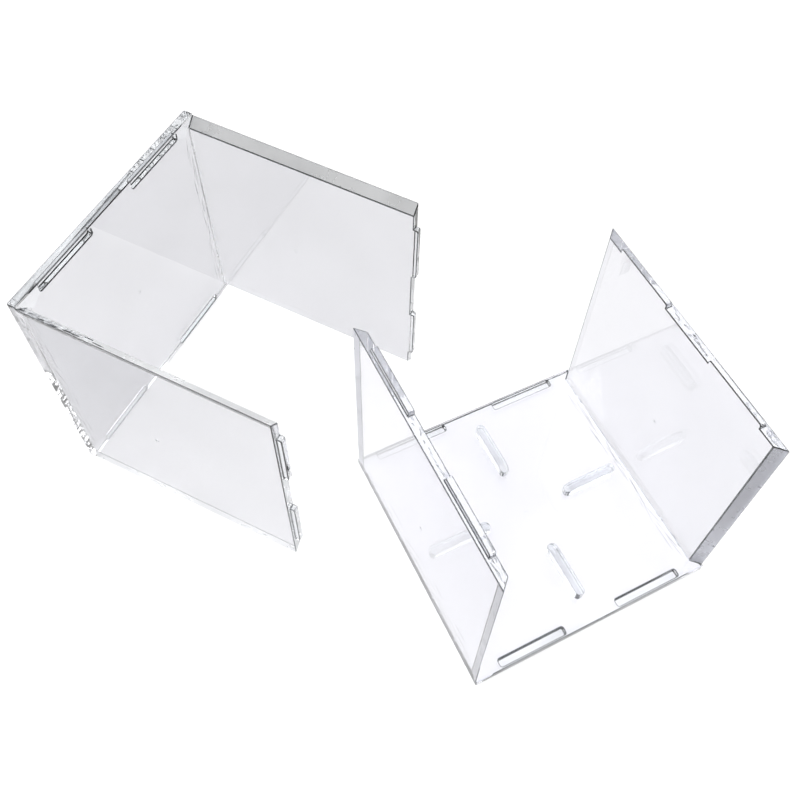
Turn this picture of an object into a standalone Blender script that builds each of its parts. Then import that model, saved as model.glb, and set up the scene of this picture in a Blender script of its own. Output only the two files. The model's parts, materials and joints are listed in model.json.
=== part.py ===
"""Clear display cube for a baseball, open, with its two halves standing apart.

Each half is a U of three square panels. The base half lies on its middle panel.
The cover half stands beside it on the ends of its panels. Closed, the cover half
drops over the base half a quarter turn round, so that the tabs on the free edges
of the walls of each half enter the slots in the middle panel of the other half.

Units are metres, +Z is up, and the origin is the middle of the base's underside.
"""

import bpy
import bmesh
from math import radians, sqrt, tan
from mathutils import Matrix, Vector

# ---------------------------------------------------------------- driving sizes
BALL_DIAMETER = 0.0737         # regulation baseball
BALL_ROOM = 0.0005             # inside width less ball diameter
PANEL_THICKNESS = 0.0029
JOINT_GAP = 0.0003             # left between two pieces that touch

TAB_LENGTH = 0.0215            # along the panel's edge
TAB_HEIGHT = 0.0015            # how far a tab stands out of the edge
TAB_THICKNESS = 0.0019         # a tab is flush with the wall's inner face
TAB_CORNER_DISTANCE = 0.0090   # from the panel's corner to the nearest tab's end

REST_WIDTH = 0.0028            # a ball rest is a short rib on the base panel
REST_HEIGHT = 0.0038
REST_TOE_HEIGHT = 0.0026       # height of the rib where it starts, under the ball
REST_EDGE_DISTANCE = 0.0080    # from the base's edge to the rib's outer end

COVER_TURN = radians(-52.8)    # direction that the cover's open side faces
COVER_CORNER_GAP = 0.0020      # from the base's corner to the cover's free edges
COVER_SIDE_SHIFT = -0.0039     # of that corner from the middle of the cover

# ---------------------------------------------------------------- derived sizes
CASE_SIDE = BALL_DIAMETER + BALL_ROOM + 2 * PANEL_THICKNESS
HALF_SIDE = CASE_SIDE / 2
WALL_FOOT = PANEL_THICKNESS + JOINT_GAP
WALL_TOP = CASE_SIDE - WALL_FOOT
SLOT_DEPTH = TAB_HEIGHT
SLOT_LENGTH = TAB_LENGTH + 2 * JOINT_GAP
SLOT_WIDTH = TAB_THICKNESS + 2 * JOINT_GAP
TAB_OFFSET = HALF_SIDE - TAB_CORNER_DISTANCE - TAB_LENGTH / 2
TAB_LINE = HALF_SIDE - PANEL_THICKNESS + TAB_THICKNESS / 2
CUT_CLEAR = 0.002              # how far a cutter runs past the face it cuts

X_AXIS, Y_AXIS, Z_AXIS = Vector((1, 0, 0)), Vector((0, 1, 0)), Vector((0, 0, 1))


# ---------------------------------------------------------------- scene helpers
def clear_scene():
    for obj in list(bpy.context.scene.objects):
        bpy.data.objects.remove(obj, do_unlink=True)


def new_collection(name):
    collection = bpy.data.collections.new(name)
    bpy.context.scene.collection.children.link(collection)
    return collection


def move_to(obj, collection):
    for old in list(obj.users_collection):
        old.objects.unlink(obj)
    collection.objects.link(obj)


def clear_plastic(name, colour, roughness):
    material = bpy.data.materials.new(name)
    material.use_nodes = True
    shader = material.node_tree.nodes["Principled BSDF"]
    shader.inputs["Base Color"].default_value = (*colour, 1)
    shader.inputs["Roughness"].default_value = roughness
    shader.inputs["Metallic"].default_value = 0
    shader.inputs["IOR"].default_value = 1.49
    shader.inputs["Alpha"].default_value = 0.35
    return material


def box(name, size, centre, collection):
    bpy.ops.mesh.primitive_cube_add(size=1)
    obj = bpy.context.object
    obj.name = name
    obj.data.transform(Matrix.Translation(centre) @ Matrix.Diagonal((*size, 1)))
    move_to(obj, collection)
    return obj


def as_cutter(obj):
    obj.hide_render = True
    obj.display_type = "WIRE"
    return obj


def join_boxes(name, boxes, collection):
    """One object out of boxes that don't touch each other, given as (size, centre)."""
    mesh = bpy.data.meshes.new(name)
    shape = bmesh.new()
    for size, centre in boxes:
        place = Matrix.Translation(centre) @ Matrix.Diagonal((*size, 1))
        bmesh.ops.create_cube(shape, size=1, matrix=place)
    shape.to_mesh(mesh)
    shape.free()
    obj = bpy.data.objects.new(name, mesh)
    collection.objects.link(obj)
    return obj


def boolean(obj, other, operation):
    modifier = obj.modifiers.new(operation.lower() + "_" + other.name, "BOOLEAN")
    modifier.operation = operation
    modifier.solver = "EXACT"
    modifier.object = other


# ---------------------------------------------------------------- panels
def middle_panel(name, collection, cutters):
    """A square panel, outer face at z = 0, with two slots along each of its edges."""
    panel = box(name, (CASE_SIDE, CASE_SIDE, PANEL_THICKNESS),
                (0, 0, PANEL_THICKNESS / 2), collection)
    height = SLOT_DEPTH + CUT_CLEAR
    z = PANEL_THICKNESS - SLOT_DEPTH + height / 2
    slots = []
    for side in (-1, 1):
        for end in (-1, 1):
            across, along = side * TAB_LINE, end * TAB_OFFSET
            slots.append(((SLOT_WIDTH, SLOT_LENGTH, height), (across, along, z)))
            slots.append(((SLOT_LENGTH, SLOT_WIDTH, height), (along, across, z)))
    cutter = as_cutter(join_boxes(name + "_slots", slots, cutters))
    boolean(panel, cutter, "DIFFERENCE")
    return panel, [cutter]


def wall_panel(name, side, collection, cutters):
    """The wall on one side of a U: mitred upright edges, and tabs at its two ends."""
    outer = side * HALF_SIDE
    wall = box(name, (PANEL_THICKNESS, CASE_SIDE, WALL_TOP - WALL_FOOT),
               (outer - side * PANEL_THICKNESS / 2, 0, (WALL_FOOT + WALL_TOP) / 2),
               collection)
    mitre_recess = JOINT_GAP / sqrt(2)
    for vertex in wall.data.vertices:
        depth = abs(outer - vertex.co.x)
        reach = HALF_SIDE - mitre_recess - depth
        vertex.co.y = reach if vertex.co.y > 0 else -reach

    root = TAB_HEIGHT            # how deep a tab is rooted in the wall
    tabs = []
    for z, way in ((WALL_FOOT, -1), (WALL_TOP, 1)):
        for end in (-1, 1):
            size = (TAB_THICKNESS, TAB_LENGTH, TAB_HEIGHT + root)
            middle = z + way * (TAB_HEIGHT - root) / 2
            tabs.append((size, (side * TAB_LINE, end * TAB_OFFSET, middle)))
    adder = as_cutter(join_boxes(name + "_tabs", tabs, cutters))
    boolean(wall, adder, "UNION")
    return wall, [adder]


def u_half(middle_name, wall_names, collection, cutters):
    """Three panels in the half's own frame: middle panel down, open side up."""
    panels = [middle_panel(middle_name, collection, cutters)]
    for side, name in zip((-1, 1), wall_names):
        panels.append(wall_panel(name, side, collection, cutters))
    return panels


# ---------------------------------------------------------------- ball rests
def ball_rests(names, collection, cutters):
    """Ribs from under the ball to near each edge, cut away where the ball sits."""
    radius = BALL_DIAMETER / 2
    bpy.ops.mesh.primitive_uv_sphere_add(
        segments=96, ring_count=48, radius=radius + JOINT_GAP,
        location=(0, 0, PANEL_THICKNESS + BALL_ROOM / 2 + radius))
    ball = bpy.context.object
    ball.name = "ball_space"
    move_to(as_cutter(ball), cutters)

    start = sqrt(radius ** 2 - (radius - REST_TOE_HEIGHT) ** 2)
    finish = HALF_SIDE - REST_EDGE_DISTANCE
    low, high = WALL_FOOT, PANEL_THICKNESS + REST_HEIGHT
    rests = []
    for quarter, name in enumerate(names):
        rib = box(name, (finish - start, REST_WIDTH, high - low),
                  ((start + finish) / 2, 0, (low + high) / 2), collection)
        rib.rotation_euler.z = quarter * radians(90)
        boolean(rib, ball, "DIFFERENCE")
        rests.append(rib)
    return rests


# ---------------------------------------------------------------- cover's place
def cover_places():
    """The cover's matrix as it stands, and the axis and angle that carry it over.

    The carry is one turn about a skew axis. It brings the cover to the place
    straight above the base where it is lined up to drop on. Its height there is
    the one that leaves no travel along the axis.
    """
    facing = Vector((1, 0, 0))
    facing.rotate(Matrix.Rotation(COVER_TURN, 3, "Z"))
    sideways = Z_AXIS.cross(facing)
    corner = Vector((-HALF_SIDE, HALF_SIDE, 0))
    middle = corner - facing * (HALF_SIDE - PANEL_THICKNESS + COVER_CORNER_GAP)
    middle = middle - sideways * COVER_SIDE_SHIFT + Z_AXIS * HALF_SIDE
    standing = Matrix((sideways, Z_AXIS, facing)).transposed()
    closed = Matrix((Y_AXIS, X_AXIS, -Z_AXIS)).transposed()

    turn = (closed @ standing.transposed()).to_quaternion()
    axis, angle = turn.to_axis_angle()
    above = Z_AXIS * HALF_SIDE
    above = above - Z_AXIS * ((above - middle).dot(axis) / axis.z)
    travel = above - middle
    pivot = (middle + above) / 2 + axis.cross(travel) / (2 * tan(angle / 2))

    place = Matrix.Translation(middle - facing * HALF_SIDE) @ standing.to_4x4()
    return place, pivot, axis, angle


def empty(name, matrix, collection):
    obj = bpy.data.objects.new(name, None)
    obj.empty_display_size = HALF_SIDE / 2
    collection.objects.link(obj)
    obj.matrix_world = matrix
    return obj


def place_under(parent, objects, place):
    """Put objects modelled in a half's own frame at its place, under an empty."""
    bpy.context.view_layer.update()
    for obj in objects:
        obj.parent = parent
        obj.matrix_parent_inverse = parent.matrix_world.inverted()
        obj.matrix_basis = place @ obj.matrix_basis


def build():
    clear_scene()
    parts = new_collection("ball_display_case")
    cutters = new_collection("cutters")
    panel_finish = clear_plastic("clear_panel", (0.90, 0.91, 0.95), 0.04)
    rest_finish = clear_plastic("clear_rest", (0.88, 0.90, 0.93), 0.06)

    base_empty = empty("base_half", Matrix.Identity(4), parts)
    base = u_half("base_panel", ("left_wall", "right_wall"), parts, cutters)
    rest_names = ("ball_rest_right", "ball_rest_back", "ball_rest_left", "ball_rest_front")
    rests = ball_rests(rest_names, parts, cutters)

    place, pivot, axis, angle = cover_places()
    hinge_frame = axis.to_track_quat("Z", "Y").to_matrix().to_4x4()
    cover_empty = empty("cover_carry_axis", Matrix.Translation(pivot) @ hinge_frame, parts)
    cover = u_half("top_panel", ("front_panel", "back_panel"), parts, cutters)

    for panel, extras in base + cover:
        panel.data.materials.append(panel_finish)
        for extra in extras:
            extra.data.materials.append(panel_finish)
    for rest in rests:
        rest.data.materials.append(rest_finish)

    for half, parent, where in ((base, base_empty, Matrix.Identity(4)),
                                (cover, cover_empty, place)):
        for panel, extras in half:
            place_under(parent, [panel, *extras], where)
    place_under(base_empty, rests, Matrix.Identity(4))
    bpy.context.view_layer.update()
    return pivot, axis, angle


build()
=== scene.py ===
"""The looks of a clear display cube for a baseball, open, on a white studio floor.

Each half is one clear shell of three welded panels. It is modelled in the half's own
frame: middle panel down, its outer face at z = 0, a wall on each side at +X and -X, and
the folds along Y. The shell is then put where the CAD half is. Units are metres.
"""

import json
import random
from math import cos, pi, radians, sin

import bmesh
import bpy
from mathutils import Matrix, Vector, noise


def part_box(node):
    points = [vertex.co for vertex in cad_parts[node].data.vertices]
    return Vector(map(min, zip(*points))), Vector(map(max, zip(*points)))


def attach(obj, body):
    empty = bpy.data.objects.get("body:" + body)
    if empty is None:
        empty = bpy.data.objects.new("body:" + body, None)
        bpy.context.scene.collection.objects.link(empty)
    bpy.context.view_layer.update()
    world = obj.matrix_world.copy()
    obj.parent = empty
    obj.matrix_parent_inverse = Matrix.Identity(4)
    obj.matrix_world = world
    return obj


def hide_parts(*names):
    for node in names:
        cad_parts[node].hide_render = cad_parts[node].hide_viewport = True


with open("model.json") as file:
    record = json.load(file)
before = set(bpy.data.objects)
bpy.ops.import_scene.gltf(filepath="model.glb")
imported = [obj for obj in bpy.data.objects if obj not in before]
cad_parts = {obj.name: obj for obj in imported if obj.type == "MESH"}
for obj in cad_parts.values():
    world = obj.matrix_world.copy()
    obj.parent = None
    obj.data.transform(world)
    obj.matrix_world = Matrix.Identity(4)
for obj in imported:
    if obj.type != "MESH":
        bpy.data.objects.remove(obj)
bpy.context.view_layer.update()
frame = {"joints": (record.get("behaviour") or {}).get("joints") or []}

# ---------------------------------------------------------------- sizes from the frame
BASE_LOW, BASE_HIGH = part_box("base_panel")
CASE_SIDE = BASE_HIGH.x - BASE_LOW.x
HALF_SIDE = CASE_SIDE / 2
PANEL_THICKNESS = BASE_HIGH.z - BASE_LOW.z
TAB_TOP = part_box("left_wall")[1].z

# ---------------------------------------------------------------- the design's small sizes
TAB_LENGTH = 0.0215
TAB_HEIGHT = 0.0015
TAB_THICKNESS = 0.0019
TAB_CORNER_DISTANCE = 0.0090
TAB_ROUND = 0.0008             # radius of a tab's corners
SLOT_CLEARANCE = 0.0003
SLOT_ROUND = 0.0007
WALL_TOP = TAB_TOP - TAB_HEIGHT
TAB_OFFSET = HALF_SIDE - TAB_CORNER_DISTANCE - TAB_LENGTH / 2
TAB_LINE = HALF_SIDE - PANEL_THICKNESS + TAB_THICKNESS / 2
MITRE_RECESS = 0.00054         # how far the mitres stand back, along the fold
FOLD_ROUND = 0.0006            # outer corner of a fold
EDGE_ROUND = 0.00026           # every other edge
EDGE_SEGMENTS = 2
ROUNDED_ANGLE = radians(35)    # edges that turn by less aren't rounded
ARC_STEPS = 6
CUT_CLEAR = 0.002              # how far a cutter runs past the face it cuts
MERGE_DISTANCE = 1e-6
FLAT_ANGLE = radians(0.5)      # faces that turn by less count as one

FOOT_GAP = 0.00003             # under a ball rest
REST_END = 0.45                # radius of a ball rest's ends, as a share of its width
BALL_CLEARANCE = 0.00005
BALL_SPACE = HALF_SIDE - PANEL_THICKNESS + BALL_CLEARANCE
BALL_SEGMENTS, BALL_RINGS = 120, 60

# ---------------------------------------------------------------- marks in the plastic
# A blob's length and girth are half sizes. Like the shares, they are drawn between two limits.
MARK_SEED = 7
BLOB_TILT = 0.25               # radians, about X
BLOB_TURN = 0.12               # radians, about Z
BLOB_SWELL = 0.7
BLOB_WAVES = 1.6
BLOB_SHIFTS = (0, 50)
BLOB_SUBDIVISIONS = 3

GATE_RADIUS = 0.0006           # a gate mark is a shallow round recess in an outer face
GATE_DEPTH = 0.00015
GATE_STEPS = 24
WALL_GATE = (-0.0025, 0.035)   # along the fold, and from the half's outer face

WELD_LENGTH = (0.0005, 0.0015)
WELD_GIRTH = (0.00012, 0.00036)
WELD_STEP = 0.0021             # between neighbouring voids in a weld
WELD_STEP_SHARE = (0.5, 1.3)
WELD_SPREAD = 0.0006

STREAK_LENGTH = (0.0020, 0.0050)
STREAK_GIRTH = (0.00004, 0.00009)
STREAK_STEP = 0.0030
STREAK_STEP_SHARE = (0.6, 1.4)
STREAK_REACH = (0.0008, 0.0026)  # from the wall
STREAK_DEPTH = (0.0004, 0.0010)  # under the middle panel's inner face

CHIP_START, CHIP_END = 0.0035, 0.027  # along one mitre, from the half's outer face
CHIP_LENGTH = (0.0008, 0.0018)
CHIP_GIRTH = (0.0003, 0.0006)
CHIP_STEP = 0.0032
CHIP_STEP_SHARE = (0.7, 1.3)
CHIP_SPREAD = (0.15, 0.85)     # across the mitre, as a share of the panel's thickness

# ---------------------------------------------------------------- material slots of a piece
FACE, ARRIS, EDGE, MITRE = range(4)

X_AXIS, Y_AXIS, Z_AXIS = Vector((1, 0, 0)), Vector((0, 1, 0)), Vector((0, 0, 1))


# ---------------------------------------------------------------- outlines and solids
def arc(centre, radius, start, finish, steps=ARC_STEPS):
    """Points on an arc between two angles in degrees."""
    points = []
    for step in range(steps + 1):
        angle = radians(start + (finish - start) * step / steps)
        points.append((centre[0] + radius * cos(angle), centre[1] + radius * sin(angle)))
    return points


def rounded_box(low, high, radius):
    """Outline of a rectangle with round corners, anticlockwise."""
    (u0, v0), (u1, v1) = low, high
    corners = (((u1 - radius, v0 + radius), -90), ((u1 - radius, v1 - radius), 0),
               ((u0 + radius, v1 - radius), 90), ((u0 + radius, v0 + radius), 180))
    outline = []
    for centre, start in corners:
        outline += arc(centre, radius, start, start + 90)
    return outline


def u_outline():
    """Section of a half across its folds, as (x, z)."""
    inner = HALF_SIDE - PANEL_THICKNESS
    right = arc((HALF_SIDE - FOLD_ROUND, FOLD_ROUND), FOLD_ROUND, -90, 0)
    right += [(HALF_SIDE, WALL_TOP), (inner, WALL_TOP), (inner, PANEL_THICKNESS)]
    left = [(-x, z) for x, z in reversed(right)]
    return right + left


def point_in_space(across, u, v, w):
    """A point of an outline at distance w along the axis that it is drawn across."""
    return {"x": (w, u, v), "y": (u, w, v), "z": (u, v, w)}[across]


def prism(shape, outline, across, low, high):
    """Adds a prism to a bmesh: an outline drawn across an axis, from low to high on it."""
    rings = []
    for w in (low, high):
        rings.append([shape.verts.new(point_in_space(across, u, v, w)) for u, v in outline])
    count = len(outline)
    faces = [shape.faces.new(rings[0]), shape.faces.new(rings[1])]
    for i in range(count):
        j = (i + 1) % count
        faces.append(shape.faces.new((rings[0][i], rings[0][j], rings[1][j], rings[1][i])))
    bmesh.ops.recalc_face_normals(shape, faces=faces)


def object_from(name, shape):
    mesh = bpy.data.meshes.new(name)
    shape.to_mesh(mesh)
    shape.free()
    obj = bpy.data.objects.new(name, mesh)
    bpy.context.scene.collection.objects.link(obj)
    return obj


def prisms(name, parts):
    """One object made of prisms that don't touch each other."""
    shape = bmesh.new()
    for part in parts:
        prism(shape, *part)
    return object_from(name, shape)


def bake_modifiers(obj):
    """Replaces an object's mesh by what its modifiers make of it."""
    depsgraph = bpy.context.evaluated_depsgraph_get()
    mesh = bpy.data.meshes.new_from_object(obj.evaluated_get(depsgraph))
    obj.modifiers.clear()
    obj.data = mesh
    obj.data.name = obj.name


def combine(obj, other, operation):
    """Boolean with another object, which is used up."""
    modifier = obj.modifiers.new(operation.lower(), "BOOLEAN")
    modifier.operation = operation
    modifier.solver = "EXACT"
    modifier.object = other
    bake_modifiers(obj)
    bpy.data.objects.remove(other)


# ---------------------------------------------------------------- the shell of a half
def mitre_cutters():
    """What the mitres take off the four upright edges of the walls."""
    inner = HALF_SIDE - PANEL_THICKNESS - CUT_CLEAR
    outer = HALF_SIDE + CUT_CLEAR
    parts = []
    for side in (-1, 1):
        for end in (-1, 1):
            corner = [(inner, inner - MITRE_RECESS), (outer, outer - MITRE_RECESS),
                      (outer, outer + CUT_CLEAR), (inner, outer + CUT_CLEAR)]
            outline = [(side * x, end * y) for x, y in corner]
            parts.append((outline, "z", PANEL_THICKNESS, WALL_TOP + CUT_CLEAR))
    return prisms("mitres", parts)


def tab_solids():
    """Tabs on the free edges of the walls, flush with the walls' inner faces."""
    parts = []
    inner = HALF_SIDE - PANEL_THICKNESS
    for side in (-1, 1):
        for end in (-1, 1):
            middle = end * TAB_OFFSET
            outline = rounded_box((middle - TAB_LENGTH / 2, WALL_TOP - TAB_HEIGHT),
                                  (middle + TAB_LENGTH / 2, TAB_TOP), TAB_ROUND)
            reach = sorted((side * inner, side * (inner + TAB_THICKNESS)))
            parts.append((outline, "x", *reach))
    return prisms("tabs", parts)


def slot_cutters():
    """Slots along the two free edges of the middle panel, in its inner face."""
    parts = []
    long, wide = TAB_LENGTH / 2 + SLOT_CLEARANCE, TAB_THICKNESS / 2 + SLOT_CLEARANCE
    for side in (-1, 1):
        for end in (-1, 1):
            x, y = end * TAB_OFFSET, side * TAB_LINE
            outline = rounded_box((x - long, y - wide), (x + long, y + wide), SLOT_ROUND)
            parts.append((outline, "z", PANEL_THICKNESS - TAB_HEIGHT, PANEL_THICKNESS + CUT_CLEAR))
    return prisms("slots", parts)


def round_edges(obj, width):
    """Rounds the edges. The new faces are arrises, which take the near-black arris material, a
    painted dark reflection; the others keep their material.
    """
    modifier = obj.modifiers.new("round_edges", "BEVEL")
    modifier.material = ARRIS
    modifier.width = width
    modifier.segments = EDGE_SEGMENTS
    modifier.limit_method = "ANGLE"
    modifier.angle_limit = ROUNDED_ANGLE
    modifier.use_clamp_overlap = True
    bake_modifiers(obj)


def clean(obj):
    """Merges doubled points, and joins faces that lie in one plane."""
    shape = bmesh.new()
    shape.from_mesh(obj.data)
    bmesh.ops.remove_doubles(shape, verts=shape.verts, dist=MERGE_DISTANCE)
    bmesh.ops.dissolve_limit(shape, angle_limit=FLAT_ANGLE, verts=shape.verts,
                             edges=shape.edges)
    shape.to_mesh(obj.data)
    shape.free()


def gate_mark_cutters():
    """Round marks where the plastic entered, one on the outer face of each panel."""
    last = 360 - 360 / GATE_STEPS
    middle = arc((0, 0), GATE_RADIUS, 0, last, GATE_STEPS - 1)
    wall = arc(WALL_GATE, GATE_RADIUS, 0, last, GATE_STEPS - 1)
    parts = [(middle, "z", -CUT_CLEAR, GATE_DEPTH)]
    for side in (-1, 1):
        reach = sorted((side * (HALF_SIDE - GATE_DEPTH), side * (HALF_SIDE + CUT_CLEAR)))
        parts.append((wall, "x", *reach))
    return prisms("gate_marks", parts)


def add_blob(shape, rng, middle, lengths, girths, along="y"):
    """Adds an uneven, stretched blob to a bmesh, and returns its faces."""
    length = rng.uniform(*lengths)
    girth = rng.uniform(*girths)
    tilt = Matrix.Rotation(rng.uniform(-BLOB_TILT, BLOB_TILT), 4, "X")
    tilt = tilt @ Matrix.Rotation(rng.uniform(-BLOB_TURN, BLOB_TURN), 4, "Z")
    if along == "z":
        tilt = Matrix.Rotation(pi / 2, 4, "X") @ tilt
    place = Matrix.Translation(middle) @ tilt
    shift = Vector((rng.uniform(*BLOB_SHIFTS), 0, 0))
    ball = bmesh.ops.create_icosphere(shape, subdivisions=BLOB_SUBDIVISIONS, radius=1)
    skin = ball["verts"]
    for vertex in skin:
        swell = 1 + BLOB_SWELL * noise.noise(vertex.co * BLOB_WAVES + shift)
        uneven = Vector((vertex.co.x * girth, vertex.co.y * length, vertex.co.z * girth))
        vertex.co = place @ (uneven * swell)
    return list({face for vertex in skin for face in vertex.link_faces})


def add_void(shape, rng, middle, lengths, girths):
    """Adds an air void to a bmesh, as a closed skin that faces inwards."""
    faces = add_blob(shape, rng, middle, lengths, girths)
    bmesh.ops.reverse_faces(shape, faces=faces)


def add_weld_voids(shape, rng):
    """Air voids inside the plastic, where the tabs of the walls are welded in."""
    for side in (-1, 1):
        for end in (-1, 1):
            y = end * TAB_OFFSET - TAB_LENGTH / 2
            while y < end * TAB_OFFSET + TAB_LENGTH / 2:
                x = side * (TAB_LINE + rng.uniform(-WELD_SPREAD, WELD_SPREAD))
                z = PANEL_THICKNESS - rng.uniform(0, 2 * WELD_SPREAD)
                add_void(shape, rng, Vector((x, y, z)), WELD_LENGTH, WELD_GIRTH)
                y += WELD_STEP * rng.uniform(*WELD_STEP_SHARE)


def add_weld_streaks(shape, rng):
    """Long thin voids beside the welds, in the middle panel."""
    inner = HALF_SIDE - PANEL_THICKNESS
    for side in (-1, 1):
        y = -HALF_SIDE + TAB_CORNER_DISTANCE
        while y < HALF_SIDE - TAB_CORNER_DISTANCE:
            x = side * (inner - rng.uniform(*STREAK_REACH))
            z = PANEL_THICKNESS - rng.uniform(*STREAK_DEPTH)
            add_void(shape, rng, Vector((x, y, z)), STREAK_LENGTH, STREAK_GIRTH)
            y += STREAK_STEP * rng.uniform(*STREAK_STEP_SHARE)


def chip_mitre(obj):
    """Chips the mitre at the +Y end of the wall at -X."""
    rng = random.Random(MARK_SEED)
    z = CHIP_START
    while z < CHIP_END:
        x = HALF_SIDE - PANEL_THICKNESS * rng.uniform(*CHIP_SPREAD)
        middle = Vector((-x, x - MITRE_RECESS, z))
        shape = bmesh.new()
        for face in add_blob(shape, rng, middle, CHIP_LENGTH, CHIP_GIRTH, "z"):
            # The chip's faces take the near-black arris material, a painted dark reflection.
            face.material_index = ARRIS
        chip = object_from("chip", shape)
        for material in obj.data.materials:
            chip.data.materials.append(material)
        combine(obj, chip, "DIFFERENCE")
        z += CHIP_STEP * rng.uniform(*CHIP_STEP_SHARE)


def add_voids(obj):
    """Adds the air voids in and beside the welds of a half."""
    rng = random.Random(MARK_SEED)
    shape = bmesh.new()
    shape.from_mesh(obj.data)
    add_weld_voids(shape, rng)
    add_weld_streaks(shape, rng)
    shape.to_mesh(obj.data)
    shape.free()


def shell(name, polished, mitre, chipped):
    """A half's three panels as one piece, in the half's own frame."""
    obj = prisms(name, [(u_outline(), "y", -HALF_SIDE, HALF_SIDE)])
    combine(obj, mitre_cutters(), "DIFFERENCE")
    combine(obj, tab_solids(), "UNION")
    combine(obj, slot_cutters(), "DIFFERENCE")
    clean(obj)
    for material in (polished, arris_painted_dark, edge, mitre):
        obj.data.materials.append(material)
    round_edges(obj, EDGE_ROUND)
    combine(obj, gate_mark_cutters(), "DIFFERENCE")
    if chipped:
        chip_mitre(obj)
    add_voids(obj)
    finish_panels(obj)
    return obj


# ---------------------------------------------------------------- ball rests
def ball_space():
    """The space of the ball, which stands on the base's middle panel."""
    shape = bmesh.new()
    place = Matrix.Translation((0, 0, PANEL_THICKNESS + BALL_SPACE))
    bmesh.ops.create_uvsphere(shape, u_segments=BALL_SEGMENTS, v_segments=BALL_RINGS,
                              radius=BALL_SPACE, matrix=place)
    return object_from("ball_space", shape)


def ball_rest(node, quarter):
    """A rib with round ends, cut away where the ball sits, a number of quarters from +X."""
    low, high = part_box("ball_rest_right")
    outline = rounded_box((low.x, low.y), (high.x, high.y), (high.y - low.y) * REST_END)
    rib = prisms(node + "_rib", [(outline, "z", PANEL_THICKNESS + FOOT_GAP, high.z)])
    combine(rib, ball_space(), "DIFFERENCE")
    clean(rib)
    for material in (base_face, arris_painted_dark, edge):
        rib.data.materials.append(material)
    round_edges(rib, EDGE_ROUND)
    for face in rib.data.polygons:
        if face.material_index == FACE:
            face.material_index = EDGE
    rib.matrix_world = Matrix.Rotation(quarter * radians(90), 4, "Z")
    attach(rib, "base_half")
    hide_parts(node)


# ---------------------------------------------------------------- materials
# Both halves are one plastic with its own faint tint; the cover's tint is darker than the base's
# as painted shade.
COVER_FACE_TINT_AND_PAINTED_SHADE = (0.70, 0.70, 0.725)
BASE_FACE_COLOUR = (0.81, 0.81, 0.84)
EDGE_COLOUR = (0.86, 0.88, 0.90)
# Near black: a painted dark reflection, standing in for the dark surroundings that real clear
# arrises refract. The chips take it too.
ARRIS_PAINTED_DARK_COLOUR = (0.05, 0.055, 0.06)
# The mitres and the folds' inner corners have one cut finish in both halves; the cover's copy is
# lighter as painted light, the base's copy darker as painted shade.
COVER_MITRE_PAINTED_LIGHT_COLOUR = (0.98, 0.99, 1.0)
BASE_MITRE_PAINTED_SHADE_COLOUR = (0.76, 0.77, 0.86)
SHADOW_COLOUR = (0.95, 0.95, 0.955)
COVER_FACE_SHADE = 0.97        # a shade is the share of the colour that is left at its darkest
BASE_FACE_SHADE = 0.98
EDGE_SHADE = 0.85
ARRIS_SHADE = 0.8
COVER_MITRE_SHADE = 0.78
BASE_MITRE_SHADE = 0.85
FULL_TRANSMISSION = 1
MITRE_TRANSMISSION = 0.5
IOR = 1.59                     # as of clear polystyrene
DRIFT_SCALE = 28               # noise cells per metre
DRIFT_DETAIL = 2
DRIFT_LOW, DRIFT_HIGH = 0.38, 0.58
GRAIN_DETAIL = 4
GRAIN_LOW, GRAIN_HIGH = 0.35, 0.65
FACE_AREA = 0.001              # the panels' faces are larger than this, their edges smaller
MITRE_AREA = 0.0001            # the mitres are larger than this
MITRE_SLANT = 0.5              # least share of a mitre's normal along X, and along Y

# A surface is its least and greatest roughness, its noise cells per metre and its relief.
FACE_SURFACE = ((0.0, 0.03), 60, 0.000004)
EDGE_SURFACE = ((0.0, 0.02), 150, 0.000003)
ARRIS_SURFACE = ((0.02, 0.08), 300, 0.000003)
MITRE_SURFACE = ((0.25, 0.4), 200, 0.00001)


def noise_pattern(tree, place, scale, detail):
    pattern = tree.nodes.new("ShaderNodeTexNoise")
    pattern.inputs["Scale"].default_value = scale
    pattern.inputs["Detail"].default_value = detail
    tree.links.new(place.outputs["Object"], pattern.inputs["Vector"])
    return pattern.outputs["Fac"]


def add_colour(tree, shader, place, colour, shade):
    """The colour drifts slowly between the colour itself and a share of it, the shade."""
    drift = noise_pattern(tree, place, DRIFT_SCALE, DRIFT_DETAIL)
    tone = tree.nodes.new("ShaderNodeValToRGB")
    tone.color_ramp.elements[0].position = DRIFT_LOW
    tone.color_ramp.elements[0].color = (*(channel * shade for channel in colour), 1)
    tone.color_ramp.elements[1].position = DRIFT_HIGH
    tone.color_ramp.elements[1].color = (*colour, 1)
    tree.links.new(drift, tone.inputs["Fac"])
    tree.links.new(tone.outputs["Color"], shader.inputs["Base Color"])


def add_surface(tree, shader, place, surface):
    """Roughness and a fine relief, which follow one noise."""
    roughness, grain, relief_depth = surface
    pattern = noise_pattern(tree, place, grain, GRAIN_DETAIL)
    spread = tree.nodes.new("ShaderNodeMapRange")
    spread.inputs["From Min"].default_value = GRAIN_LOW
    spread.inputs["From Max"].default_value = GRAIN_HIGH
    spread.inputs["To Min"].default_value = roughness[0]
    spread.inputs["To Max"].default_value = roughness[1]
    tree.links.new(pattern, spread.inputs["Value"])
    tree.links.new(spread.outputs["Result"], shader.inputs["Roughness"])
    relief = tree.nodes.new("ShaderNodeBump")
    relief.inputs["Strength"].default_value = 1
    relief.inputs["Distance"].default_value = relief_depth
    tree.links.new(pattern, relief.inputs["Height"])
    tree.links.new(relief.outputs["Normal"], shader.inputs["Normal"])


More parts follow.
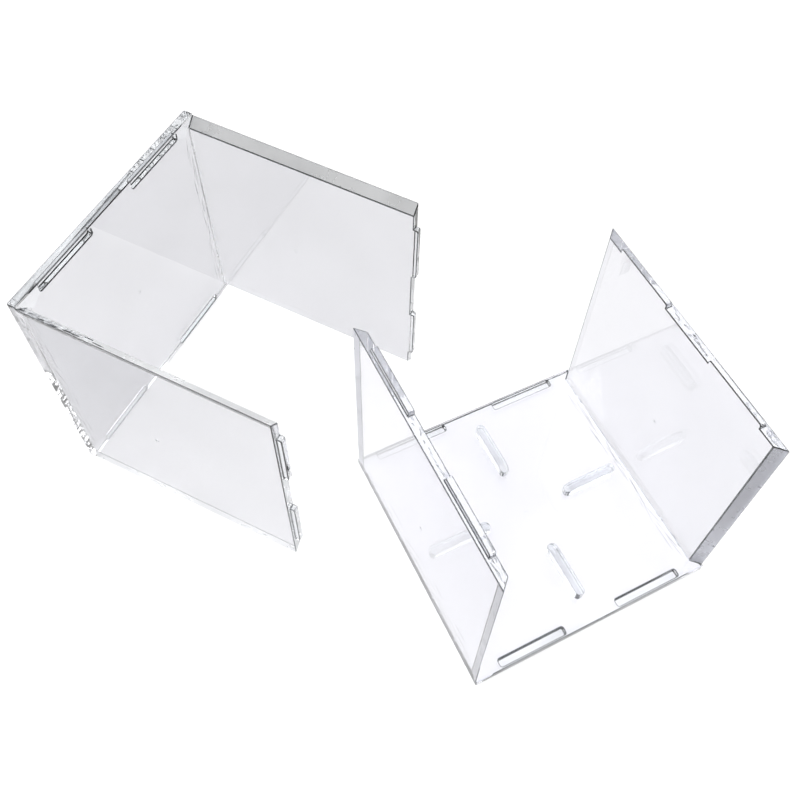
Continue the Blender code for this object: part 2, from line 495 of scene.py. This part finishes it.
def let_shadows_through(tree, shader):
    """Shadow rays go straight through, a little tinted, so the shadows stay faint."""
    shadow = tree.nodes.new("ShaderNodeBsdfTransparent")
    shadow.inputs["Color"].default_value = (*SHADOW_COLOUR, 1)
    path = tree.nodes.new("ShaderNodeLightPath")
    mix = tree.nodes.new("ShaderNodeMixShader")
    tree.links.new(path.outputs["Is Shadow Ray"], mix.inputs["Fac"])
    tree.links.new(shader.outputs["BSDF"], mix.inputs[1])
    tree.links.new(shadow.outputs["BSDF"], mix.inputs[2])
    tree.links.new(mix.outputs["Shader"], tree.nodes["Material Output"].inputs["Surface"])


def clear_plastic(name, colour, shade, transmission, surface):
    material = bpy.data.materials.new(name)
    material.use_nodes = True
    tree = material.node_tree
    shader = tree.nodes["Principled BSDF"]
    shader.inputs["IOR"].default_value = IOR
    shader.inputs["Transmission Weight"].default_value = transmission
    place = tree.nodes.new("ShaderNodeTexCoord")
    add_colour(tree, shader, place, colour, shade)
    add_surface(tree, shader, place, surface)
    let_shadows_through(tree, shader)
    return material


def is_mitre(face):
    slanted = min(abs(face.normal.x), abs(face.normal.y)) > MITRE_SLANT
    return slanted and face.area > MITRE_AREA


def finish_panels(obj):
    """Gives the small flat faces and the folds' inner corners their own materials."""
    inner = HALF_SIDE - PANEL_THICKNESS
    for face in obj.data.polygons:
        beside = abs(abs(face.center.x) - inner) < 2 * EDGE_ROUND
        if beside and abs(face.center.z - PANEL_THICKNESS) < 2 * EDGE_ROUND:
            face.material_index = MITRE
        if face.material_index == FACE and face.area < FACE_AREA:
            face.material_index = MITRE if is_mitre(face) else EDGE


# ---------------------------------------------------------------- places of the halves
def middle_of(node):
    low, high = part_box(node)
    return (low + high) / 2


def cover_place():
    """The cover half's matrix at rest: the carry undone from its place above the base."""
    carry = frame["joints"][0]
    turn = Matrix.Rotation(-radians(carry["range_deg"][1]), 3, Vector(carry["axis"]))
    above_base = Matrix((Y_AXIS, X_AXIS, -Z_AXIS)).transposed()
    middle = (middle_of("front_panel") + middle_of("back_panel")) / 2
    facing = (turn @ above_base).to_4x4()
    return Matrix.Translation(middle) @ facing @ Matrix.Translation(-Z_AXIS * HALF_SIDE)


# ---------------------------------------------------------------- studio
CAMERA_PLACE = Vector((-0.09418, -0.09067, 0.27472))
CAMERA_AZIMUTH = radians(-31.22)
CAMERA_DOWN = radians(58.13)
CAMERA_ROLL = radians(4.75)
CAMERA_LENS = 42.35
CAMERA_SHIFT = (-0.0377, -0.0151)
CAMERA_NEAR, CAMERA_FAR = 0.01, 20
FLOOR_REACH = 6
FLOOR_DROP = 0.0001            # below the case's underside
FLOOR_COLOUR = (0.93, 0.93, 0.93)
OVERHEAD_STRENGTH = 1.1
OVERHEAD_ANGLE = radians(90)
KEY_PLACE = (0.75, -0.5, 1.4)
KEY_SIZE = 0.9
KEY_POWER = 7.5
FILL_PLACE = (-0.8, -0.5, 1.2)
FILL_SIZE = 0.7
FILL_POWER = 6.5
BACK_PLACE = (-0.3, 0.7, 1.5)
BACK_SIZE = 0.8
BACK_POWER = 4.6
WORLD_LOW, WORLD_HIGH = 0.20, 0.32
WORLD_DARK = 0.3
WORLD_HORIZON = 0.6
WORLD_STRENGTH = 1.0
PANEL_BOUNCES = 40
GLOSSY_BOUNCES = 12
TRANSPARENT_BOUNCES = 24


def studio_camera():
    data = bpy.data.cameras.new("camera")
    data.lens = CAMERA_LENS
    data.shift_x, data.shift_y = CAMERA_SHIFT
    data.clip_start, data.clip_end = CAMERA_NEAR, CAMERA_FAR
    obj = bpy.data.objects.new("camera", data)
    aim = Matrix.Rotation(CAMERA_AZIMUTH, 4, "Z") @ Matrix.Rotation(pi / 2 - CAMERA_DOWN, 4, "X")
    obj.matrix_world = (Matrix.Translation(CAMERA_PLACE) @ aim
                        @ Matrix.Rotation(CAMERA_ROLL, 4, "Z"))
    bpy.context.scene.collection.objects.link(obj)
    bpy.context.scene.camera = obj


def studio_floor():
    shape = bmesh.new()
    bmesh.ops.create_grid(shape, x_segments=1, y_segments=1, size=FLOOR_REACH)
    floor = object_from("studio_floor", shape)
    floor.location.z = -FLOOR_DROP
    material = bpy.data.materials.new("studio_floor")
    material.use_nodes = True
    shader = material.node_tree.nodes["Principled BSDF"]
    shader.inputs["Base Color"].default_value = (*FLOOR_COLOUR, 1)
    shader.inputs["Roughness"].default_value = 1
    shader.inputs["Specular IOR Level"].default_value = 0
    floor.data.materials.append(material)


def area_light(name, place, size, power):
    """A square light that faces the middle of the base's underside."""
    data = bpy.data.lights.new(name, "AREA")
    data.shape = "RECTANGLE"
    data.size, data.size_y = size, size
    data.energy = power
    obj = bpy.data.objects.new(name, data)
    obj.location = place
    obj.rotation_euler = (-Vector(place)).to_track_quat("-Z", "Y").to_euler()
    bpy.context.scene.collection.objects.link(obj)


def overhead_light():
    """Even light from straight above, so that the floor stays pale far out."""
    data = bpy.data.lights.new("overhead_light", "SUN")
    data.energy = OVERHEAD_STRENGTH
    data.angle = OVERHEAD_ANGLE
    bpy.context.scene.collection.objects.link(bpy.data.objects.new("overhead_light", data))


def light_paths():
    """Light runs far along a panel between its faces, so it needs many turns."""
    cycles = bpy.context.scene.cycles
    cycles.max_bounces = PANEL_BOUNCES
    cycles.transmission_bounces = PANEL_BOUNCES
    cycles.glossy_bounces = GLOSSY_BOUNCES
    cycles.transparent_max_bounces = TRANSPARENT_BOUNCES


def studio_world():
    """A grey surround, lighter below and up to a little above the horizon."""
    world = bpy.data.worlds.new("studio")
    bpy.context.scene.world = world
    world.use_nodes = True
    tree = world.node_tree
    coordinates = tree.nodes.new("ShaderNodeTexCoord")
    split = tree.nodes.new("ShaderNodeSeparateXYZ")
    ramp = tree.nodes.new("ShaderNodeValToRGB")
    ramp.color_ramp.elements[0].position = WORLD_LOW
    ramp.color_ramp.elements[0].color = (WORLD_HORIZON, WORLD_HORIZON, WORLD_HORIZON, 1)
    ramp.color_ramp.elements[1].position = WORLD_HIGH
    ramp.color_ramp.elements[1].color = (WORLD_DARK, WORLD_DARK, WORLD_DARK, 1)
    tree.links.new(coordinates.outputs["Generated"], split.inputs["Vector"])
    tree.links.new(split.outputs["Z"], ramp.inputs["Fac"])
    tree.links.new(ramp.outputs["Color"], tree.nodes["Background"].inputs["Color"])
    tree.nodes["Background"].inputs["Strength"].default_value = WORLD_STRENGTH


# ---------------------------------------------------------------- the scene
# The cover's face material is the plastic's own tint with painted shade, darker than the base's.
cover_face_tint_and_painted_shade = clear_plastic("cover_face_tint_and_painted_shade", COVER_FACE_TINT_AND_PAINTED_SHADE, COVER_FACE_SHADE,
                           FULL_TRANSMISSION, FACE_SURFACE)
base_face = clear_plastic("base_face", BASE_FACE_COLOUR, BASE_FACE_SHADE,
                          FULL_TRANSMISSION, FACE_SURFACE)
edge = clear_plastic("polished_edge", EDGE_COLOUR, EDGE_SHADE,
                     FULL_TRANSMISSION, EDGE_SURFACE)
# The arrises are painted near black, as a painted reflection of dark surroundings.
arris_painted_dark = clear_plastic("arris_painted_dark", ARRIS_PAINTED_DARK_COLOUR, ARRIS_SHADE,
                      FULL_TRANSMISSION, ARRIS_SURFACE)
# Lit and shaded copies of one mitre finish: painted light on the cover, painted shade on the base.
cover_mitre_painted_light = clear_plastic("cover_mitre_painted_light", COVER_MITRE_PAINTED_LIGHT_COLOUR, COVER_MITRE_SHADE,
                            MITRE_TRANSMISSION, MITRE_SURFACE)
base_mitre_painted_shade = clear_plastic("base_mitre_painted_shade", BASE_MITRE_PAINTED_SHADE_COLOUR, BASE_MITRE_SHADE,
                           MITRE_TRANSMISSION, MITRE_SURFACE)

base_shell = shell("base_shell", base_face, base_mitre_painted_shade, False)
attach(base_shell, "base_half")
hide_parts("base_panel", "left_wall", "right_wall")

cover_shell = shell("cover_shell", cover_face_tint_and_painted_shade, cover_mitre_painted_light, True)
cover_shell.matrix_world = cover_place()
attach(cover_shell, "cover_half")
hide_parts("top_panel", "front_panel", "back_panel")

rests = ("ball_rest_right", "ball_rest_back", "ball_rest_left", "ball_rest_front")
for quarter, node in enumerate(rests):
    ball_rest(node, quarter)

studio_camera()
studio_floor()
overhead_light()
area_light("key_light", KEY_PLACE, KEY_SIZE, KEY_POWER)
area_light("fill_light", FILL_PLACE, FILL_SIZE, FILL_POWER)
area_light("back_light", BACK_PLACE, BACK_SIZE, BACK_POWER)
studio_world()
light_paths()
bpy.context.scene.view_settings.view_transform = "Standard"
